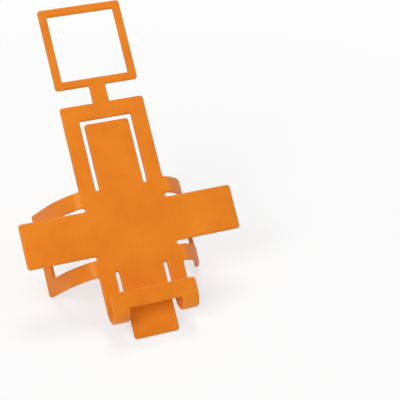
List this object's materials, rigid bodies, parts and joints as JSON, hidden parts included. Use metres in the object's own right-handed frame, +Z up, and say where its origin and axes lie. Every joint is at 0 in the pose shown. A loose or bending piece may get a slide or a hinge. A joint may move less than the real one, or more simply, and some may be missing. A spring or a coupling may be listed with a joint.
{
  "type": "phone holder",
  "caption": "Bent sheet stand for a phone: a cross with tongues in its arms, its side frames bent back as legs, its lower frame bent up as a hook, and a square hanging loop on a neck.",
  "frame": {"origin": "on the table, under the middle of the outline of the stand seen from above", "axes": "+Z up, -Y to the front, where the hook holds the lower edge of a phone, +X along the hook, with the stand the same on both sides of the YZ plane"},
  "size_m": [0.1238, 0.1319, 0.1452],
  "materials": {
    "holder": "matte orange moulded soft plastic"
  },
  "bodies": {
    "root": {"holder": "holder"}
  },
  "joints": []
}
